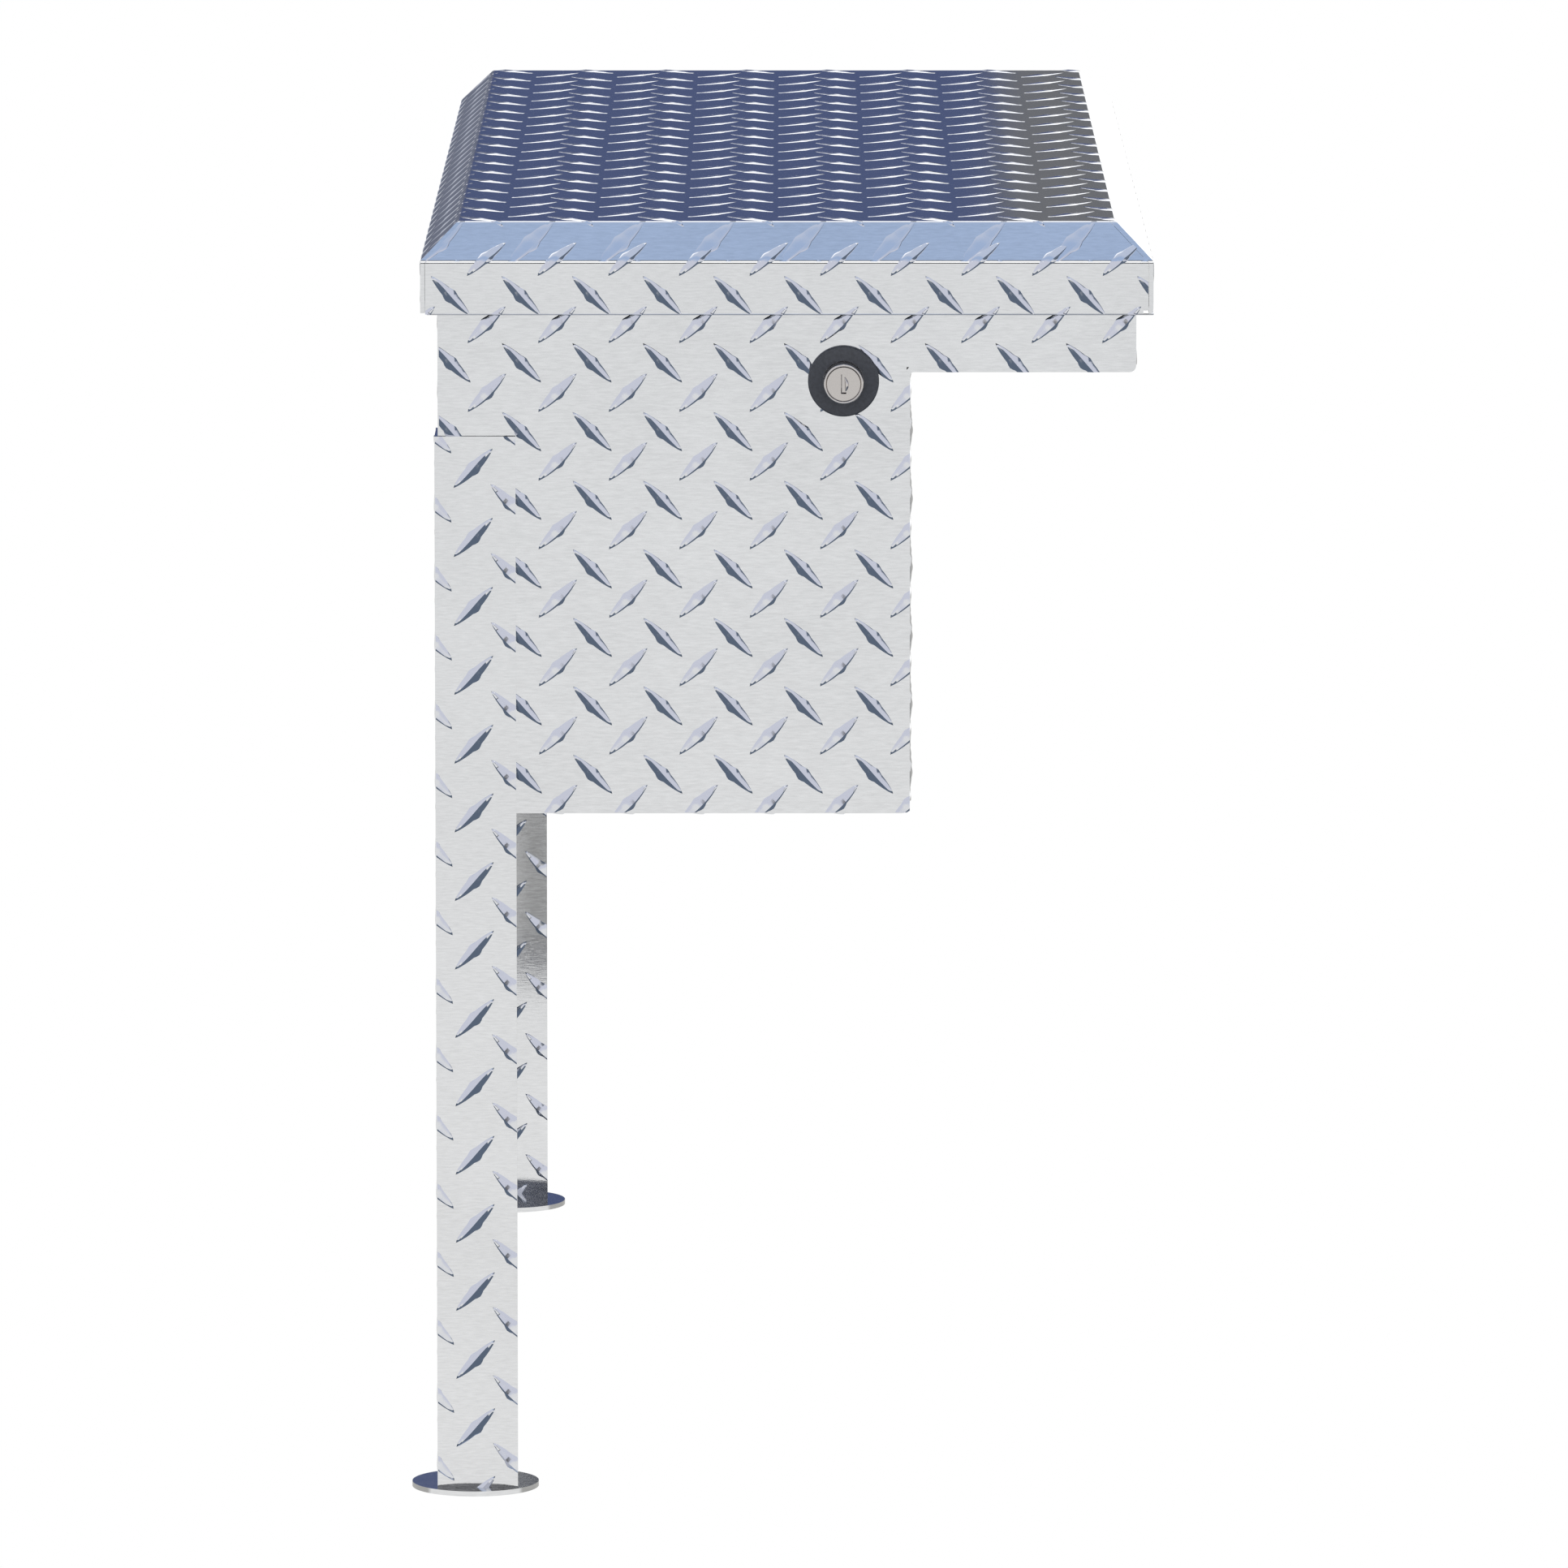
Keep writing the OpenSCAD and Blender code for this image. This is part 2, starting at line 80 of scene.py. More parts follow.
FOOT_T = node_box("foot_near")[1][2]
bezel_lo, bezel_hi = node_box("lock_bezel")
LOCK_X = (bezel_lo[0] + bezel_hi[0]) / 2 - MID[0]
LOCK_Z = (bezel_lo[2] + bezel_hi[2]) / 2
BEZEL_R = (bezel_hi[0] - bezel_lo[0]) / 2

# ---- Shader nodes and materials ----


def new_material(name):
    mat = bpy.data.materials.new(name)
    mat.use_nodes = True
    return mat, mat.node_tree, mat.node_tree.nodes["Principled BSDF"]


def ramp(tree, source, stops):
    """A colour ramp fed by source; stops are (place, grey or rgb)."""
    node = tree.nodes.new("ShaderNodeValToRGB")
    elements = node.color_ramp.elements
    while len(elements) < len(stops):
        elements.new(0.5)
    for element, (place, value) in zip(elements, stops):
        element.position = place
        rgb = value if isinstance(value, tuple) else (value, value, value)
        element.color = (*rgb, 1)
    tree.links.new(source, node.inputs["Fac"])
    return node.outputs["Color"]


def math_node(tree, operation, *values):
    """The result of a maths node on up to three numbers or sockets."""
    node = tree.nodes.new("ShaderNodeMath")
    node.operation = operation
    for socket, value in zip(node.inputs, values):
        if isinstance(value, (int, float)):
            socket.default_value = value
        else:
            tree.links.new(value, socket)
    return node.outputs[0]


def mix_colour(tree, factor, a, b):
    """Colour a where factor is 0, colour b where it is 1."""
    node = tree.nodes.new("ShaderNodeMix")
    node.data_type = "RGBA"
    for socket, value in zip((node.inputs[0], node.inputs[6], node.inputs[7]), (factor, a, b)):
        if isinstance(value, (int, float)):
            socket.default_value = value
        elif isinstance(value, tuple):
            socket.default_value = (*value, 1)
        else:
            tree.links.new(value, socket)
    return node.outputs[2]


def stretched_noise(tree, scale, detail=3.0, rough=0.55):
    """Noise in object space, finer by a scale per axis."""
    place = tree.nodes.new("ShaderNodeTexCoord")
    mapping = tree.nodes.new("ShaderNodeMapping")
    mapping.inputs["Scale"].default_value = scale
    tree.links.new(place.outputs["Object"], mapping.inputs["Vector"])
    noise = tree.nodes.new("ShaderNodeTexNoise")
    noise.inputs["Scale"].default_value = 1.0
    noise.inputs["Detail"].default_value = detail
    noise.inputs["Roughness"].default_value = rough
    tree.links.new(mapping.outputs["Vector"], noise.inputs["Vector"])
    return noise.outputs["Fac"]


def lies_flat(tree, steepest=0.6):
    """1 where a surface faces mostly up or down, 0 elsewhere."""
    geometry = tree.nodes.new("ShaderNodeNewGeometry")
    split = tree.nodes.new("ShaderNodeSeparateXYZ")
    tree.links.new(geometry.outputs["True Normal"], split.inputs[0])
    turned = math_node(tree, "ABSOLUTE", split.outputs["Z"])
    return math_node(tree, "GREATER_THAN", turned, steepest)


def add_relief(tree, bsdf, pattern_height, strength, distance):
    """Fine relief on a material, distance in metres."""
    relief = tree.nodes.new("ShaderNodeBump")
    relief.inputs["Strength"].default_value = strength
    relief.inputs["Distance"].default_value = distance
    tree.links.new(pattern_height, relief.inputs["Height"])
    tree.links.new(relief.outputs["Normal"], bsdf.inputs["Normal"])


CLOUD_SCALE = (14, 14, 22)
CLOUD_SHARE = 0.25


def metal(name, tone, roughness, grain=0.03, bump=0.02, grain_scale=(180, 180, 1300), spread=0.04):
    """Bare metal with fine rolling grain in its colour, roughness and relief."""
    mat, tree, bsdf = new_material(name)
    across, _, fine = grain_scale
    upright = stretched_noise(tree, grain_scale, 4.0, 0.62)
    flat = stretched_noise(tree, (across, fine, across), 4.0, 0.62)
    mixer = tree.nodes.new("ShaderNodeMix")
    tree.links.new(lies_flat(tree), mixer.inputs[0])
    tree.links.new(upright, mixer.inputs[2])
    tree.links.new(flat, mixer.inputs[3])
    lines = mixer.outputs[0]
    cloud = stretched_noise(tree, CLOUD_SCALE, 2.0)
    both = math_node(tree, "ADD", lines, math_node(tree, "MULTIPLY", cloud, CLOUD_SHARE))
    dark = tuple(c * (1 - grain) for c in tone)
    light = tuple(min(1.0, c * (1 + grain)) for c in tone)
    colour = ramp(tree, both, [(0.38, dark), (0.62, tone), (0.88, light)])
    tree.links.new(colour, bsdf.inputs["Base Color"])
    shine = ramp(tree, lines, [(0.25, max(0.0, roughness - spread)), (0.75, roughness + spread)])
    tree.links.new(shine, bsdf.inputs["Roughness"])
    bsdf.inputs["Metallic"].default_value = 1.0
    add_relief(tree, bsdf, lines, bump, 0.0002)
    return mat


def plain(name, tone, roughness, size=600, variation=0.25, unevenness=0.05, bump=0.1):
    """A non-metal with a fine mottled skin."""
    mat, tree, bsdf = new_material(name)
    noise = stretched_noise(tree, (size, size, size))
    dark = tuple(c * (1 - variation) for c in tone)
    light = tuple(c * (1 + variation) for c in tone)
    tree.links.new(ramp(tree, noise, [(0.3, dark), (0.7, light)]), bsdf.inputs["Base Color"])
    shine = ramp(tree, noise, [(0.3, roughness - unevenness), (0.7, roughness + unevenness)])
    tree.links.new(shine, bsdf.inputs["Roughness"])
    add_relief(tree, bsdf, noise, bump, 0.0001)
    return mat


ALUMINIUM = (0.69, 0.695, 0.70)
plate = metal("tread_plate_sheet", ALUMINIUM, 0.07, grain=0.09, bump=0.05, spread=0.02)
raised = metal("tread_plate_raised", (0.70, 0.705, 0.72), 0.10, grain=0.015, bump=0.02, spread=0.02)
nickel = metal("satin_nickel_turned", (0.56, 0.53, 0.505), 0.16, grain=0.03, grain_scale=(90, 90, 1200))
zinc = metal("cast_zinc_rough", (0.45, 0.45, 0.46), 0.42, grain=0.10, grain_scale=(300, 300, 300))
MATERIALS = {
    "tread_plate": plate,
    "plain_aluminium": metal("plain_aluminium_mill", (0.66, 0.67, 0.68), 0.28, grain=0.05),
    "zinc_steel": metal("zinc_plated_steel", (0.55, 0.56, 0.55), 0.33, grain=0.08),
    "spring_steel": metal("drawn_spring_steel", (0.42, 0.42, 0.43), 0.25, grain=0.05),
    "cast_zinc": zinc,
    "satin_nickel": nickel,
    "black_bezel": plain("black_bezel_moulded", (0.066, 0.069, 0.075), 0.42),
    "seal_rubber": plain("seal_rubber_black", (0.018, 0.018, 0.019), 0.7, size=250),
}

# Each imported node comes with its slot's name on its material
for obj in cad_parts.values():
    for place in obj.material_slots:
        place.material = MATERIALS[place.material.name.split(".")[0]]

# ---- One raised lug of the tread plate, and how lugs fill a flat region ----

LUG_HALF = 13.2  # half a lug's length
LUG_WIDTH = 2.45  # half its greatest width
LUG_HEIGHT = 1.2
LEANING_HEIGHT = 0.62 * LUG_HEIGHT
TAPER = 1.9  # how late its width narrows towards the tips
FALL = 1.8  # how late its crest falls towards the tips
KNOB_R = 3.15  # round swelling at its middle
KNOB_HEIGHT = 0.32
KNOB_SHIFT = -0.1
BORDER = 0.86  # where its rim starts, as a share of the way to its edge
RIM = 0.30  # height of the rim, as a share of the crest's
SINK = 0.25  # how deep it stands in the plate
STATIONS = (-10.4, -7.4, -5.0, -3.4, -2.7, -1.4, 0, 1.4, 2.7, 3.4, 5.0, 7.4, 10.4)
ACROSS = (-1.0, -BORDER, -0.45, 0.0, 0.45, BORDER, 1.0)
TINY = 1e-6


def lug_template(ridge, twist, rise):
    """Corners (u, v, height), faces and sharp edges of one closed lug.

    ridge is where its crest lies across it, -1 to 1, and twist how far that wanders along it.
    """
    points = [(-LUG_HALF, 0, -SINK / 2)]
    for u in STATIONS:
        spindle = LUG_WIDTH * (1 - abs(u / LUG_HALF) ** TAPER)
        knob = math.sqrt(max(0.0, KNOB_R**2 - u * u))
        low = max(spindle, knob - KNOB_SHIFT)
        high = max(spindle, knob + KNOB_SHIFT)
        crest = (ridge - twist * u / LUG_HALF) * spindle
        top = rise * (1 - abs(u / LUG_HALF) ** FALL)
        points.append((u, -low, -SINK))
        for share in ACROSS:
            reach = high - crest if share > 0 else low + crest
            v = crest + share * reach
            slope = max(0.0, 1 - abs(v - crest) / (reach + TINY))
            if abs(share) == BORDER:
                slope = max(slope, RIM)
            dome = 1 - (u * u + (v - KNOB_SHIFT) ** 2) / KNOB_R**2
            height = top * slope + KNOB_HEIGHT * max(0.0, dome)
            if abs(share) == 1.0:
                height = 0.0
            points.append((u, v, height))
        points.append((u, high, -SINK))
    points.append((LUG_HALF, 0, -SINK / 2))
    ring = len(ACROSS) + 2
    creases = (0, 1, 1 + ACROSS.index(0.0), len(ACROSS), ring - 1)
    last = 1 + (len(STATIONS) - 1) * ring
    faces = []
    sharp = set()
    for first in range(1, last, ring):
        for j in range(ring):
            a, b = first + j, first + (j + 1) % ring
            faces.append((a, a + ring, b + ring, b))
        sharp |= {(first + j, first + j + ring) for j in creases}
    for j in range(ring):
        k = (j + 1) % ring
        faces.append((0, 1 + j, 1 + k))
        faces.append((last + ring, last + k, last + j))
    return np.array(points), faces, sharp


LUGS = {"ridged": lug_template(0.02, 0.42, LUG_HEIGHT), "leaning": lug_template(-0.68, 0.0, LEANING_HEIGHT)}
C45 = math.sqrt(0.5)


def placed_lugs(kind, slope, hand, centres, stretch):
    """Flat corners of a lug at each centre; slope -1 leans like a backslash, hand -1 mirrors it."""
    points, faces, sharp = LUGS[kind]
    flat = points.copy()
    u, v = points[:, 0], points[:, 1]
    if slope < 0:
        flat[:, 0], flat[:, 1] = C45 * (u + v), C45 * (v - u)
    else:
        flat[:, 0], flat[:, 1] = C45 * (u - v), C45 * (u + v)
    flat[:, 0] *= hand
    flat *= np.array(stretch)
    if hand < 0:
        faces = [f[::-1] for f in faces]
    return [(flat + np.array([c[0], c[1], 0]), faces, sharp) for c in centres]


def clipped(lug, region):
    """The lug cut to a convex region, a list of (point, outward), or None if nothing is left."""
    points, faces, sharp = lug
    crossing = []
    for point, outward in region:
        side = (points[:, :2] - point) @ outward
        if side.min() >= -TINY:
            return None
        if side.max() > TINY:
            crossing.append((point, outward))
    if not crossing:
        return lug
    bm = bmesh.new()
    made = [bm.verts.new(p) for p in points]
    for f in faces:
        bm.faces.new([made[i] for i in f])
    for a, b in sharp:
        edge = bm.edges.get((made[a], made[b]))
        if edge:
            edge.smooth = False
    for point, outward in crossing:
        cut = bmesh.ops.bisect_plane(
            bm,
            geom=bm.verts[:] + bm.edges[:] + bm.faces[:],
            dist=1e-5,
            plane_co=(point[0], point[1], 0),
            plane_no=(outward[0], outward[1], 0),
            clear_outer=True,
        )
        edges = [e for e in cut["geom_cut"] if isinstance(e, bmesh.types.BMEdge)]
        if edges:
            bmesh.ops.holes_fill(bm, edges=edges)
            for e in edges:
                e.smooth = False
    bm.verts.index_update()
    result = None
    if len(bm.faces) > 3:
        result = (
            np.array([tuple(v.co) for v in bm.verts]),
            [tuple(v.index for v in f.verts) for f in bm.faces],
            {tuple(v.index for v in e.verts) for e in bm.edges if not e.smooth},
        )
    bm.free()
    return result


def rectangle(a0, a1, b0, b1):
    """A rectangle as a convex region."""
    return [
        (np.array([a0, 0.0]), np.array([-1.0, 0.0])),
        (np.array([a1, 0.0]), np.array([1.0, 0.0])),
        (np.array([0.0, b0]), np.array([0.0, -1.0])),
        (np.array([0.0, b1]), np.array([0.0, 1.0])),
    ]


LUG_REACH = 22  # no lug reaches further than this from its centre


def lattice(first, pitch, box):
    """Centres of one lattice whose lugs can reach a box (a0, a1, b0, b1)."""
    counts = []
    for axis in (0, 1):
        low = box[2 * axis] - LUG_REACH - first[axis]
        high = box[2 * axis + 1] + LUG_REACH - first[axis]
        counts.append(range(math.ceil(low / pitch[axis]), math.floor(high / pitch[axis]) + 1))
    return [(first[0] + i * pitch[0], first[1] + j * pitch[1]) for i in counts[0] for j in counts[1]]


FULL = (1, 1, 0.85)
LOW = (1, 1, 0.35)


def pattern(back_first, fore_first, pitch, hand=1, stretch=FULL):
    """Two lattices of lugs: those that lean back, like a backslash, and those that lean forth.

    Each is given by one of its centres. hand -1 mirrors the lugs, and stretch scales them along each axis.
    """
    kinds = (("ridged", -1, back_first), ("leaning", 1, fore_first))
    if hand < 0:
        kinds = (("ridged", -1, fore_first), ("leaning", 1, back_first))
    return {"kinds": kinds, "pitch": pitch, "hand": hand, "stretch": stretch}


def inside(points, box, extra):
    """Which flat corners lie within a box and its extra cuts."""
    a0, a1, b0, b1 = box
    kept = (points[:, 0] >= a0) & (points[:, 0] <= a1) & (points[:, 1] >= b0) & (points[:, 1] <= b1)
    for point, outward in extra:
        kept &= (points[:, :2] - point) @ outward <= 0
    return kept


def lugs_in(style, regions):
    """All lugs of a pattern on regions given as (box, extra cuts); one within their union stays whole."""
    out = []
    boxes = np.array([box for box, extra in regions])
    around = (boxes[:, 0].min(), boxes[:, 1].max(), boxes[:, 2].min(), boxes[:, 3].max())
    for kind, slope, first in style["kinds"]:
        centres = lattice(first, style["pitch"], around)
        for lug in placed_lugs(kind, slope, style["hand"], centres, style["stretch"]):
            covered = np.zeros(len(lug[0]), bool)
            for box, extra in regions:
                covered |= inside(lug[0], box, extra)
            if covered.all():
                out.append(lug)
                continue
            for box, extra in regions:
                kept = clipped(lug, rectangle(*box) + list(extra))
                if kept is not None:
                    out.append(kept)
    return out


def plane_map(origin, a_axis, b_axis):
    """Maps flat (a, b, height) to a plane through origin."""
    a_axis, b_axis = np.array(a_axis, float), np.array(b_axis, float)
    normal = np.cross(a_axis, b_axis)
    origin = np.array(origin, float)

    def mapped(flat):
        return origin + flat @ np.array([a_axis, b_axis, normal])

    return mapped


def turn_between(a, b, c):
    """Angle by which the path a, b, c turns at b."""
    d, e = (b - a) / np.linalg.norm(b - a), (c - b) / np.linalg.norm(c - b)
    return math.acos(max(-1.0, min(1.0, float(d @ e))))


def bent_map(corners, radius, zero, path_first, embed, straight):
    """Maps flat (a, b, height) to a sheet folded along a path of 2D corners.

    zero is (corner index, path length there), path_first tells whether a or b runs along the path,
    embed turns a 2D point into a 3D one, and straight is the direction of the folds.
    """
    corners = [np.array(c, float) for c in corners]
    straight = np.array(straight, float)
    pieces = []  # start, end, kind, first point and direction, and for an arc its end direction and angle
    s = 0.0
    at_corner = [0.0]
    for i in range(len(corners) - 1):
        a, b = corners[i], corners[i + 1]
        direction = (b - a) / np.linalg.norm(b - a)
        length = np.linalg.norm(b - a)
        cut_a = cut_b = 0.0
        if i > 0:
            cut_a = radius * math.tan(turn_between(corners[i - 1], a, b) / 2)
        if i < len(corners) - 2:
            cut_b = radius * math.tan(turn_between(a, b, corners[i + 2]) / 2)
        straight_length = length - cut_a - cut_b
        pieces.append((s, s + straight_length, "line", a + direction * cut_a, direction))
        s += straight_length
        if i < len(corners) - 2:
            after = (corners[i + 2] - b) / np.linalg.norm(corners[i + 2] - b)
            turn = turn_between(a, b, corners[i + 2])
            at_corner.append(s + radius * turn / 2)
            pieces.append((s, s + radius * turn, "arc", b - direction * cut_b, (direction, after, turn)))
            s += radius * turn
    at_corner.append(s)
    offset = at_corner[zero[0]] - zero[1]

    def point_at(s_value):
        s_value = min(max(s_value + offset, 0.0), s)
        for start, end, kind, base, data in pieces:
            if s_value <= end + 1e-9:
                t = s_value - start
                if kind == "line":
                    return base + data * t, data
                direction, after, turn = data
                sign = math.copysign(1.0, direction[0] * after[1] - direction[1] * after[0])
                inward = np.array([-direction[1], direction[0]]) * sign
                angle = t / radius
                centre = base + inward * radius
                tangent = direction * math.cos(angle) + inward * math.sin(angle)
                spoke = -inward * math.cos(angle) + direction * math.sin(angle)
                return centre + spoke * radius, tangent
        return base, data

    def mapped(flat):
        out = np.zeros((len(flat), 3))
        for n, (a, b, height) in enumerate(flat):
            along, other = (a, b) if path_first else (b, a)
            point, tangent = point_at(along)
            ahead = embed(tangent)
            normal = np.cross(ahead, straight) if path_first else np.cross(straight, ahead)
            out[n] = embed(point) + straight * other + normal * height
        return out

    return mapped


def mesh_piece(name, parts, mat, body):
    """One object from lists of (corners in mm from the lid's middle, faces, sharp edges)."""
    corners, faces, sharp = [], [], []
    start = 0
    for points, part_faces, part_sharp in parts:
        corners.append(points)
        faces += [tuple(i + start for i in f) for f in part_faces]
        sharp += [(a + start, b + start) for a, b in part_sharp]
        start += len(points)
    corners = (np.vstack(corners) + MID) * MM
    mesh = bpy.data.meshes.new(name)
    mesh.from_pydata(corners.tolist(), [], faces)
    mesh.update(calc_edges=True)
    mesh.polygons.foreach_set("use_smooth", np.ones(len(mesh.polygons), bool))
    wanted = {tuple(sorted(e)) for e in sharp}
    ends = np.zeros(len(mesh.edges) * 2, np.int32)
    mesh.edges.foreach_get("vertices", ends)
    ends = np.sort(ends.reshape(-1, 2), axis=1)
    flags = np.array([(int(a), int(b)) in wanted for a, b in ends], bool)
    attribute = mesh.attributes.new("sharp_edge", "BOOLEAN", "EDGE")
    attribute.data.foreach_set("value", flags)
    mesh.materials.append(mat)
    obj = bpy.data.objects.new(name, mesh)
    scene.collection.objects.link(obj)
    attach(obj, body)
    return obj


def mapped_parts(lugs, mapping):
    """Flat lugs put in their place on the object."""
    return [(mapping(points), faces, sharp) for points, faces, sharp in lugs]


def cut(point, outward):
    """One straight edge of a region: a point on it and the direction out of the region."""
    outward = np.array(outward, float)
    return (np.array(point, float), outward / np.linalg.norm(outward))


# ---- The lugs' patterns, in each face's own flat measures, and the faces themselves ----

END_PITCH = (31.7, 31.1)
END_BACK = (-151.0, SKIRT_TOP - 46.6)
END_FORE = (-135.0, SKIRT_TOP - 28.9)
end_style = pattern(END_BACK, END_FORE, END_PITCH)
low_style = pattern(END_BACK, END_FORE, END_PITCH, stretch=LOW)
skirt_style = {**end_style, "kinds": end_style["kinds"][:1]}
fold_style = {**end_style, "kinds": end_style["kinds"][1:]}
TOP_PITCH = (40.6, 46.3)
top_style = pattern((-138.5, -390.8), (-115.2, -367.7), TOP_PITCH, stretch=(1.26, 1.58, 0.34))
flow_style = {**top_style, "stretch": (1.26, 1.58, 0.55)}
SIDE_PITCH = (31.7, 31.0)
SIDE_FORE = (SIDE_PITCH[0] / 2, SIDE_PITCH[1] / 2)
side_style = pattern((0, 0), SIDE_FORE, SIDE_PITCH, stretch=LOW)
slant_style = pattern((0, 0), SIDE_FORE, SIDE_PITCH, stretch=(1, 1, 0.22))
LEG_BACK = (-159.5, SKIRT_TOP - 78.6)
LEG_FORE = (-141.2, SKIRT_TOP - 94.1)
LEG_PITCH = (34.9, 31.3)

# Lid: skirts, chamfers and top of the long sheet; path length s equals x on the top
EDGE = LID_HW - CHAMFER
lid_path = [
    (-LID_HW, SKIRT_BOT), (-LID_HW, SKIRT_TOP), (-EDGE, LID_TOP),
    (EDGE, LID_TOP), (LID_HW, SKIRT_TOP), (LID_HW, SKIRT_BOT),
]
lid_map = bent_map(
    lid_path, LID_BEND, (2, -EDGE), True, lambda p: np.array([p[0], 0, p[1]]), (0, 1, 0)
)
SLANT = CHAMFER * math.sqrt(2)
BEND_LOSS = 2 * LID_BEND * math.tan(math.pi / 8) - LID_BEND * math.pi / 4
SHEET = 2.0  # the sheet's thickness and a little more
END_Y = LID_HL - CHAMFER
chamfer_out = EDGE + SLANT - BEND_LOSS
skirt_out = chamfer_out + (SKIRT_TOP - SKIRT_BOT) - BEND_LOSS
MITRE_GAP = 1.2  # bare strip beside the welded mitres
MITRE_LEAN = CHAMFER - 0.8  # the strip widens a little towards the skirt
HEM = 1.0  # bare strip along the skirts' lower edges
top_lugs = lugs_in(top_style, [((-EDGE, EDGE, -END_Y, END_Y), ())])
side_lugs = []
for side in (-1, 1):
    chamfer_cuts = [
        cut((side * EDGE, end * (END_Y - MITRE_GAP)), (-side * MITRE_LEAN, end * SLANT)) for end in (-1, 1)
    ]
    inner, outer = sorted((side * EDGE, side * chamfer_out))
    side_lugs += lugs_in(slant_style, [((inner, outer, -LID_HL, LID_HL), chamfer_cuts)])
    inner, outer = sorted((side * chamfer_out, side * (skirt_out - HEM)))
    side_lugs += lugs_in(side_style, [((inner, outer, -LID_HL, LID_HL), ())])
mesh_piece("lid_top_lugs", mapped_parts(top_lugs, lid_map), raised, "lid")
mesh_piece("lid_side_lugs", mapped_parts(side_lugs, lid_map), raised, "lid")

# Lid ends: skirt and chamfer, path length equal to z on the skirt; the path ends well inside the top
ENDS = (("near", 1), ("far", -1))
INTO_TOP = 30
SEAM = SHEET + 0.3  # where the end pieces meet the long skirts
end_path = [(-LID_HL, SKIRT_BOT), (-LID_HL, SKIRT_TOP), (-END_Y, LID_TOP), (-END_Y + INTO_TOP, LID_TOP)]
skirt_end = SKIRT_TOP - BEND_LOSS / 2
slope_end = skirt_end + SLANT - BEND_LOSS / 2
flow = slope_end + END_Y  # the top's own lattice runs on over the chamfer
half = LID_HW - SEAM
skirt_box = (-half, half, SKIRT_BOT, SKIRT_TOP)
slope_box = (-half, half, SKIRT_TOP, slope_end)
slope_cuts = [cut((half, SKIRT_TOP), (SLANT, CHAMFER)), cut((-half, SKIRT_TOP), (-SLANT, CHAMFER))]
flow_box = (-half, half, SKIRT_TOP - flow, slope_end - flow)
flow_cuts = [(point - np.array([0, flow]), outward) for point, outward in slope_cuts]
end_lugs = lugs_in(skirt_style, [(skirt_box, ())])
end_lugs += lugs_in(fold_style, [(skirt_box, ()), (slope_box, slope_cuts)])
for points, faces, sharp in lugs_in(flow_style, [(flow_box, flow_cuts)]):
    end_lugs.append((points + np.array([0, flow, 0]), faces, sharp))
for name, turn in ENDS:
    end_map = bent_map(
        end_path, LID_BEND, (0, SKIRT_BOT), False,
        lambda p, turn=turn: np.array([0, turn * p[0], p[1]]), (turn, 0, 0),
    )
    mesh_piece("lid_end_lugs_" + name, mapped_parts(end_lugs, end_map), raised, "lid")

UNDER_BEZEL = 2.5  # how far lugs may run in under the lock's bezel


def clear_of_lock(lugs):
    """The lugs that show outside the bezel, each cut straight before it reaches the lock's hole."""
    lock = np.array([LOCK_X, LOCK_Z])
    keep_out = BEZEL_R - UNDER_BEZEL
    kept = []
    for lug in lugs:
        away = lug[0][:, :2] - lock
        distance = np.hypot(away[:, 0], away[:, 1])
        if distance.min() < keep_out:
            shown = away[distance > BEZEL_R]
            if len(shown) == 0:
                continue
            direction = shown.mean(axis=0)
            direction = direction / np.linalg.norm(direction)
            lug = clipped(lug, [(lock + direction * keep_out, -direction)])
        if lug is not None:
            kept.append(lug)
    return kept


# Box ends: the overhang's height, the wall above the leg and the wall beside the leg
HIDDEN_TOP = SKIRT_TOP - 4.2  # under the lid's skirt, where no lug can be seen
CORNER = 0.6  # bare strip at the panel's upright edges
SILL = 0.4  # and at its lower edge
for name, turn in ENDS:
    panel_map = plane_map((0, -turn * BOX_HL, 0), (turn, 0, 0), (0, 0, 1))
    boxes = [
        (-BOX_HW + CORNER, BOX_HW - CORNER, STEP_Z, HIDDEN_TOP),
        (-BOX_HW + CORNER, STEP_X, LEG_TOP, STEP_Z),
        (LEG_X1, STEP_X, BOX_LOW + SILL, LEG_TOP),
    ]
    if turn < 0:
        boxes = [(-b, -a, c, d) for a, b, c, d in boxes]
    lugs = lugs_in(end_style, [(box, ()) for box in boxes])
    if turn > 0:
        lugs = clear_of_lock(lugs)
    mesh_piece("end_panel_lugs_" + name, mapped_parts(lugs, panel_map), raised, "box")

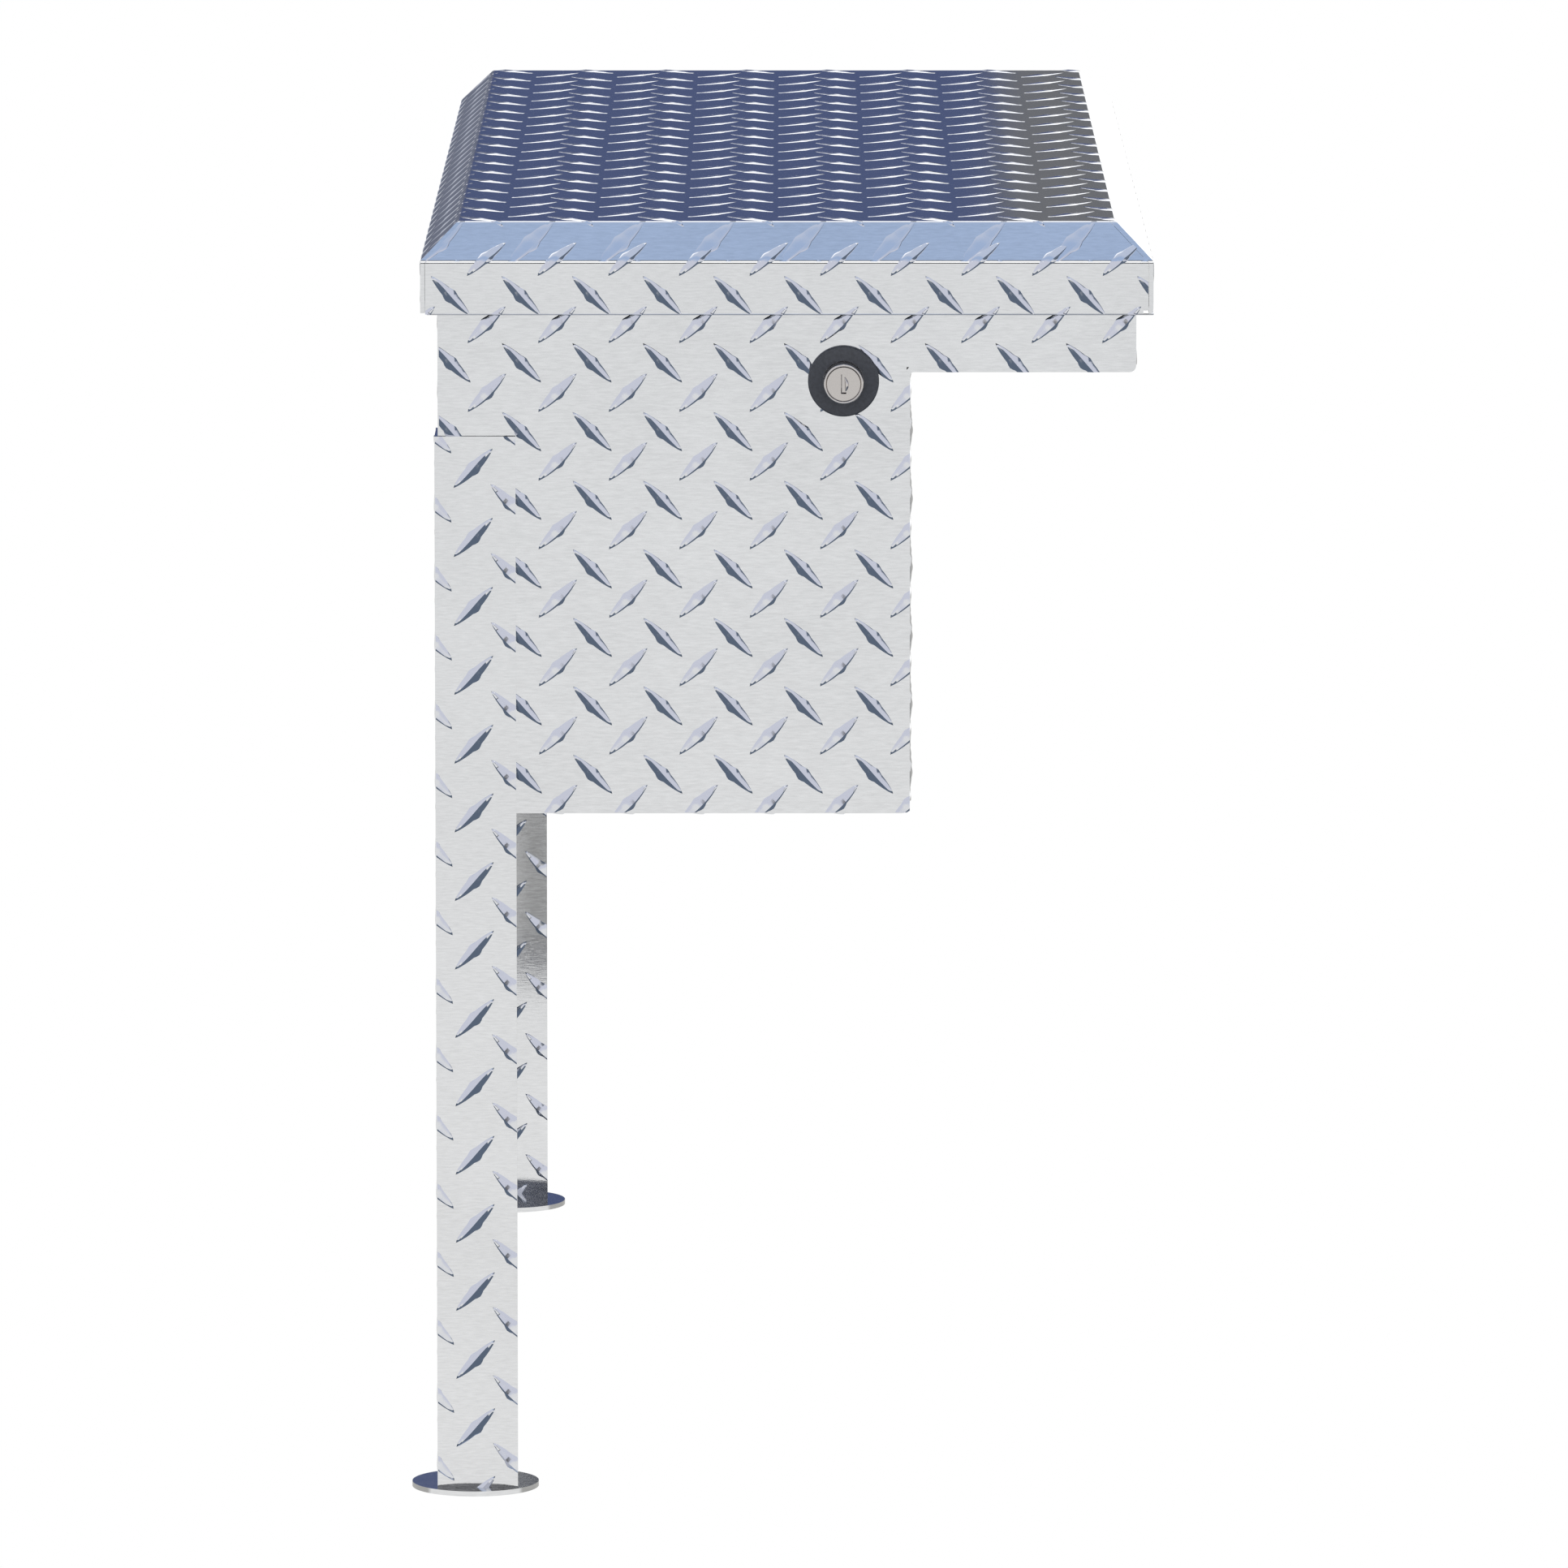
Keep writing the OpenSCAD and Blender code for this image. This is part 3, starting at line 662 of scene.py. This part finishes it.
# Long sheet of the box: each outer face in turn, with low lugs where the lid's skirt passes
OUTER_FOLD = 3.0  # bare strip where the sheet folds outwards
INNER_FOLD = 1.5  # bare strip where it folds inwards
BEHIND_SKIRT = 8.0  # how far lugs run on behind the skirt
SHEET_Y = BOX_HL - SHEET
face_regions = {
    "box_leg_side_lugs": (
        low_style,
        plane_map((-BOX_HW, 0, 0), (0, -1, 0), (0, 0, 1)),
        [(LEG_Y1, -LEG_Y1, BOX_LOW + OUTER_FOLD, LEG_TOP), (-SHEET_Y, SHEET_Y, LEG_TOP, SKIRT_BOT)],
    ),
    "box_bottom_lugs": (
        end_style,
        plane_map((0, 0, BOX_LOW), (1, 0, 0), (0, -1, 0)),
        [(LEG_X1, STEP_X - OUTER_FOLD, -SHEET_Y, SHEET_Y), (-BOX_HW + OUTER_FOLD, LEG_X1, LEG_Y1, -LEG_Y1)],
    ),
    "box_step_lugs": (
        end_style,
        plane_map((STEP_X, 0, 0), (0, 1, 0), (0, 0, 1)),
        [(-SHEET_Y, SHEET_Y, BOX_LOW + OUTER_FOLD, STEP_Z - INNER_FOLD)],
    ),
    "box_overhang_lugs": (
        low_style,
        plane_map((BOX_HW, 0, 0), (0, 1, 0), (0, 0, 1)),
        [(-SHEET_Y, SHEET_Y, STEP_Z + OUTER_FOLD, SKIRT_BOT + BEHIND_SKIRT)],
    ),
}
for name, (style, mapping, boxes) in face_regions.items():
    lugs = lugs_in(style, [(box, ()) for box in boxes])
    mesh_piece(name, mapped_parts(lugs, mapping), raised, "box")


# Legs: both faces of both flanges of each angle
def leg_pattern(mirrored, stretch):
    """The lugs of a leg's face; mirrored for one whose first axis points the other way."""
    if not mirrored:
        return pattern(LEG_BACK, LEG_FORE, LEG_PITCH, -1, stretch)
    kinds = (("ridged", -1, (-LEG_FORE[0], LEG_FORE[1])), ("leaning", 1, (-LEG_BACK[0], LEG_BACK[1])))
    return {"kinds": kinds, "pitch": LEG_PITCH, "hand": 1, "stretch": stretch}


UNDER = BOX_LOW - 2.0  # top of the lugs on the inner faces, just below the box
LIP = 0.3  # bare strip along a leg's outer edges
ROOT = 0.1  # and along its inner corner
for name, turn in ENDS:
    right = LEG_X1 - ROOT
    # which way the face looks along y, its y, its lowest x and its top
    end_flange = [
        (-turn, turn * LEG_Y0, LEG_X0 + LIP, LEG_TOP),
        (turn, turn * (LEG_Y0 + LEG_T), LEG_X0 + LEG_T + ROOT, UNDER),
    ]
    parts = []
    for looks, y, left, top in sorted(end_flange):
        box = (left, right, FOOT_T, top) if looks < 0 else (-right, -left, FOOT_T, top)
        face = plane_map((0, y, 0), (-looks, 0, 0), (0, 0, 1))
        parts += mapped_parts(lugs_in(leg_pattern(looks > 0, FULL), [(box, ())]), face)
    y0, y1 = sorted((turn * (LEG_Y0 + LIP), turn * (LEG_Y1 - LIP)))
    inner_y0, inner_y1 = sorted((turn * (LEG_Y0 + LEG_T + ROOT), turn * (LEG_Y1 - LIP)))
    # the side flange's faces, with a column of lugs down the middle
    shift = -(y0 + y1) / 2 - LEG_FORE[0]
    face = plane_map((LEG_X0, -shift, 0), (0, -1, 0), (0, 0, 1))
    box = (-y1 - shift, -y0 - shift, FOOT_T, LEG_TOP)
    parts += mapped_parts(lugs_in(leg_pattern(False, LOW), [(box, ())]), face)
    shift = (y0 + y1) / 2 - LEG_FORE[0]
    face = plane_map((LEG_X0 + LEG_T, shift, 0), (0, 1, 0), (0, 0, 1))
    box = (inner_y0 - shift, inner_y1 - shift, FOOT_T, UNDER)
    parts += mapped_parts(lugs_in(leg_pattern(False, LOW), [(box, ())]), face)
    mesh_piece("leg_lugs_" + name, parts, raised, "box")

EDGE_R = 0.35
EDGE_IN = 0.22  # its middle lies this far in from the skirt's face
EDGE_UP = 0.1
EDGE_START = 3.0  # distance from the hinge side
EDGE_SIDES = 12


def lower_edge():
    """Rounded lower edge of the lid's skirts, from the hinge side round the free side."""
    start_x, end_x = -LID_HW + EDGE_START, LID_HW - EDGE_IN
    near_y, far_y = -LID_HL + EDGE_IN, LID_HL - EDGE_IN
    # x, y and the heading outwards in degrees; the two corners are mitres
    path = [(start_x, near_y, -90), (end_x, near_y, -45), (end_x, far_y, 45), (start_x, far_y, 90)]
    points, faces = [], []
    for x, y, heading in path:
        out = math.radians(heading)
        wide = EDGE_R / math.cos(math.radians(45)) if abs(heading) == 45 else EDGE_R
        for k in range(EDGE_SIDES):
            a = 2 * math.pi * k / EDGE_SIDES
            away = wide * math.cos(a)
            height = SKIRT_BOT + EDGE_UP + EDGE_R * math.sin(a)
            points.append((x + away * math.cos(out), y + away * math.sin(out), height))
    for first in range(0, len(points) - EDGE_SIDES, EDGE_SIDES):
        for k in range(EDGE_SIDES):
            a, b = first + k, first + (k + 1) % EDGE_SIDES
            faces.append((a, b, b + EDGE_SIDES, a + EDGE_SIDES))
    faces.append(tuple(range(EDGE_SIDES))[::-1])
    faces.append(tuple(range(len(points) - EDGE_SIDES, len(points))))
    mesh_piece("lid_lower_edge", [(np.array(points), faces, set())], plate, "lid")


lower_edge()

# ---- Lock face ----

PANEL_Y = -BOX_HL
SEGMENTS = 96


def lathe(name, profile, mat, body):
    """Turned piece about the lock's axis from (radius, distance out of the panel) points."""
    points, faces, rings = [], [], []
    for r, out in profile:
        if r == 0:
            rings.append([len(points)])
            points.append((LOCK_X, PANEL_Y - out, LOCK_Z))
            continue
        rings.append(list(range(len(points), len(points) + SEGMENTS)))
        for k in range(SEGMENTS):
            a = 2 * math.pi * k / SEGMENTS
            points.append((LOCK_X + r * math.cos(a), PANEL_Y - out, LOCK_Z + r * math.sin(a)))
    for below, above in zip(rings, rings[1:]):
        for k in range(SEGMENTS):
            n = (k + 1) % SEGMENTS
            if len(below) == 1:
                faces.append((below[0], above[n], above[k]))
            elif len(above) == 1:
                faces.append((below[k], below[n], above[0]))
            else:
                faces.append((below[k], below[n], above[n], above[k]))
    round_rings = [ring for ring in rings if len(ring) > 1]
    sharp = {(ring[k], ring[(k + 1) % SEGMENTS]) for ring in round_rings for k in range(SEGMENTS)}
    return mesh_piece(name, [(np.array(points), faces, sharp)], mat, body)


BUTTON_R = 8.9
BUTTON_OUT = 14.7  # its face, measured out of the panel
BUTTON_IN = -12.0
BUTTON_BORE = 7.55
BORE_END = -9.0
GROOVE_R = 7.96  # outer wall of the groove round the plug
GROOVE_END = BUTTON_OUT - 2.0
STEM_R = 3.0
STEM_END = -28.0
STEM_BEVEL = 0.4
button_profile = [
    (0, STEM_END), (STEM_R - STEM_BEVEL, STEM_END), (STEM_R, STEM_END + STEM_BEVEL), (STEM_R, BUTTON_IN),
    (BUTTON_R - 0.4, BUTTON_IN), (BUTTON_R, BUTTON_IN + 0.4), (BUTTON_R, BUTTON_OUT - 0.4),
    (BUTTON_R - 0.04, BUTTON_OUT - 0.2), (BUTTON_R - 0.16, BUTTON_OUT - 0.06), (BUTTON_R - 0.32, BUTTON_OUT),
    (GROOVE_R + 0.12, BUTTON_OUT), (GROOVE_R + 0.03, BUTTON_OUT - 0.08), (GROOVE_R, GROOVE_END + 0.1),
    (BUTTON_BORE, GROOVE_END), (BUTTON_BORE, BORE_END), (0, BORE_END),
]
button_piece = lathe("push_button_turned", button_profile, nickel, "button")
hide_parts("push_button")

LEAF_TOP = 3.1  # above the lock's axis
LEAF_LENGTH = 6.6
LEAF_LEFT = 0.45  # right of the axis, at its top
LEAF_SLANT = 0.25
LEAF_WIDTH = 1.75
LEAF_HEIGHT = 0.6
LEAF_FRONT = PANEL_Y - BUTTON_OUT + 0.38
LEAF_BACK = PANEL_Y - BUTTON_OUT + 0.55


def leaf_piece():
    """Curved leaf beside the keyway, standing a little proud of the plug's face."""
    rows, columns = 14, 6
    points, faces = [], []
    for i in range(rows + 1):
        t = i / rows
        z = LOCK_Z + LEAF_TOP - LEAF_LENGTH * t
        bulge = math.sin(math.pi * t) ** 0.8
        for j in range(columns + 1):
            share = j / columns
            x = LOCK_X + LEAF_LEFT + LEAF_SLANT * t + LEAF_WIDTH * share * bulge
            lift = LEAF_HEIGHT * math.sin(math.pi * share) ** 0.7 * bulge
            points.append((x, LEAF_FRONT - lift, z))
    front = len(points)
    points += [(x, LEAF_BACK, z) for x, _, z in points[:front]]
    width = columns + 1
    for i in range(rows):
        for j in range(columns):
            a = i * width + j
            faces.append((a, a + width, a + width + 1, a + 1))
            faces.append((front + a, front + a + 1, front + a + width + 1, front + a + width))
        a, b = i * width, i * width + columns
        faces.append((a, front + a, front + a + width, a + width))
        faces.append((b, b + width, front + b + width, front + b))
    for j in range(columns):
        faces.append((j, j + 1, front + j + 1, front + j))
        k = rows * width + j
        faces.append((k, front + k, front + k + 1, k + 1))
    mesh_piece("keyway_leaf", [(np.array(points), faces, set())], nickel, "plug")


leaf_piece()

# ---- Surroundings ----

SLATE = (0.14, 0.18, 0.25)
LAVENDER = (0.78, 0.805, 0.92)
SKY = (0.475, 0.606, 0.865)
NAVY = (0.080, 0.105, 0.215)
HAZE = (0.155, 0.17, 0.225)
GREY = (0.165, 0.17, 0.185)
DUSK = (0.50, 0.53, 0.62)
STONE = (0.53, 0.525, 0.51)
GLOOM = (0.13, 0.145, 0.17)
CHALK = (0.78, 0.78, 0.80)
PALE = (0.66, 0.74, 0.92)
GLARE = (1.5, 1.52, 1.58)
BELOW = (1.02, 1.02, 1.02)
LEVEL = (0.965, 0.975, 0.985)
WHITE = (1.0, 1.0, 1.0)


def share_of(z):
    """A part of a direction, -1 to 1, as a place on a ramp, 0 to 1."""
    return (z + 1) / 2


def by_height(tree, height, stops):
    """A ramp whose stops are given as (z of the direction, colour)."""
    return ramp(tree, height, [(share_of(z), colour) for z, colour in stops])


def front_colours(tree, height, x_dir, rightwards):
    """What lies before the object: floor, dark band and lights in the middle, lavender beside them."""
    middle = by_height(tree, height, [
        (-0.34, SLATE), (-0.24, BELOW), (-0.16, BELOW), (-0.10, LEVEL), (-0.055, LEVEL), (-0.045, 0.08),
        (0.20, 0.08), (0.25, 1.6), (0.76, 1.6), (0.80, 0.12), (0.86, 0.12), (0.9, SKY),
    ])
    beside = by_height(tree, height, [
        (-0.34, SLATE), (-0.24, BELOW), (-0.16, BELOW), (-0.10, LEVEL), (-0.03, LEVEL), (0.05, LAVENDER),
        (0.7, LAVENDER), (0.93, SKY),
    ])
    sideways = ramp(tree, math_node(tree, "ABSOLUTE", x_dir), [(0.03, 0.0), (0.05, 1.0)])
    front = mix_colour(tree, sideways, middle, beside)
    dark_side = ramp(tree, rightwards, [(0.785, 0.0), (0.81, 1.0)])
    return front, dark_side


def back_colours(tree, height, x_dir, rightwards):
    """What lies behind it: navy to grey from left to right, darker floor below and glare above."""
    level = ramp(tree, math_node(tree, "MULTIPLY_ADD", x_dir, 2.5, 0.5), [
        (0.02, DUSK), (0.12, HAZE), (0.28, HAZE), (0.44, NAVY), (0.5355, NAVY), (0.539, GREY), (0.60, GREY),
        (0.68, 1.6),
    ])
    deep = by_height(tree, height, [(-0.85, CHALK), (-0.52, GLOOM), (-0.27, STONE)])
    back = mix_colour(tree, by_height(tree, height, [(-0.11, 1.0), (-0.06, 0.0)]), level, deep)
    back = mix_colour(tree, by_height(tree, height, [(0.20, 0.0), (0.29, 1.0)]), back, GLARE)
    back = mix_colour(tree, by_height(tree, height, [(0.86, 0.0), (0.93, 1.0)]), back, PALE)
    dark_side = ramp(tree, rightwards, [(0.70, 0.0), (0.74, 1.0)])
    return back, dark_side


def build_world():
    """A studio that the polished sheet mirrors; the camera itself sees plain white."""
    world = bpy.data.worlds.new("studio")
    scene.world = world
    world.use_nodes = True
    tree = world.node_tree
    tree.nodes.clear()
    place = tree.nodes.new("ShaderNodeTexCoord")
    split = tree.nodes.new("ShaderNodeSeparateXYZ")
    tree.links.new(place.outputs["Generated"], split.inputs[0])
    x_dir, y_dir, z_dir = split.outputs
    height = math_node(tree, "MULTIPLY_ADD", z_dir, 0.5, 0.5)
    rightwards = math_node(tree, "MULTIPLY_ADD", x_dir, 0.5, 0.5)
    raised_side = by_height(tree, height, [(0.25, 0.0), (0.35, 1.0)])
    halves = []
    for colours in (front_colours, back_colours):
        half_world, dark_side = colours(tree, height, x_dir, rightwards)
        high_side = math_node(tree, "MULTIPLY", dark_side, raised_side)
        halves.append(mix_colour(tree, high_side, half_world, SLATE))
    behind = ramp(tree, math_node(tree, "MULTIPLY_ADD", y_dir, 0.5, 0.5), [(0.48, 0.0), (0.56, 1.0)])
    surround = mix_colour(tree, behind, *halves)
    path = tree.nodes.new("ShaderNodeLightPath")
    seen = mix_colour(tree, path.outputs["Is Camera Ray"], surround, WHITE)
    background = tree.nodes.new("ShaderNodeBackground")
    tree.links.new(seen, background.inputs["Color"])
    output = tree.nodes.new("ShaderNodeOutputWorld")
    tree.links.new(background.outputs[0], output.inputs["Surface"])


FLOOR_HALF = 40
FLOOR_DROP = 0.0002


def build_floor():
    """White floor, clear from below, which lights and mirrors nothing."""
    s = FLOOR_HALF
    mesh = bpy.data.meshes.new("floor")
    mesh.from_pydata([(-s, -s, 0), (s, -s, 0), (s, s, 0), (-s, s, 0)], [], [(0, 1, 2, 3)])
    floor = bpy.data.objects.new("floor", mesh)
    scene.collection.objects.link(floor)
    floor.location.z = -FLOOR_DROP
    mat, tree, bsdf = new_material("pale_floor")
    glow = tree.nodes.new("ShaderNodeEmission")
    glow.inputs["Color"].default_value = (*WHITE, 1)
    glow.inputs["Strength"].default_value = 1.0
    clear = tree.nodes.new("ShaderNodeBsdfTransparent")
    side = tree.nodes.new("ShaderNodeNewGeometry")
    both = tree.nodes.new("ShaderNodeMixShader")
    tree.links.new(side.outputs["Backfacing"], both.inputs[0])
    tree.links.new(glow.outputs[0], both.inputs[1])
    tree.links.new(clear.outputs[0], both.inputs[2])
    tree.links.new(both.outputs[0], tree.nodes["Material Output"].inputs["Surface"])
    mesh.materials.append(mat)
    floor.visible_glossy = False
    floor.visible_diffuse = False


build_world()
build_floor()

# ---- Camera ----

CAMERA_PLACE = (MID[0] - 1.265, MID[1] - 6823.3, LID_TOP + 612.3)
CAMERA_DOWN = 7.695  # degrees
camera_data = bpy.data.cameras.new("camera")
camera = bpy.data.objects.new("camera", camera_data)
scene.collection.objects.link(camera)
camera_data.sensor_width = 36
camera_data.lens = 329.1
camera_data.clip_start, camera_data.clip_end = 0.1, 100
camera.location = [value * MM for value in CAMERA_PLACE]
camera.rotation_euler = (math.radians(90 - CAMERA_DOWN), 0, 0)
scene.camera = camera
scene.view_settings.view_transform = "Standard"
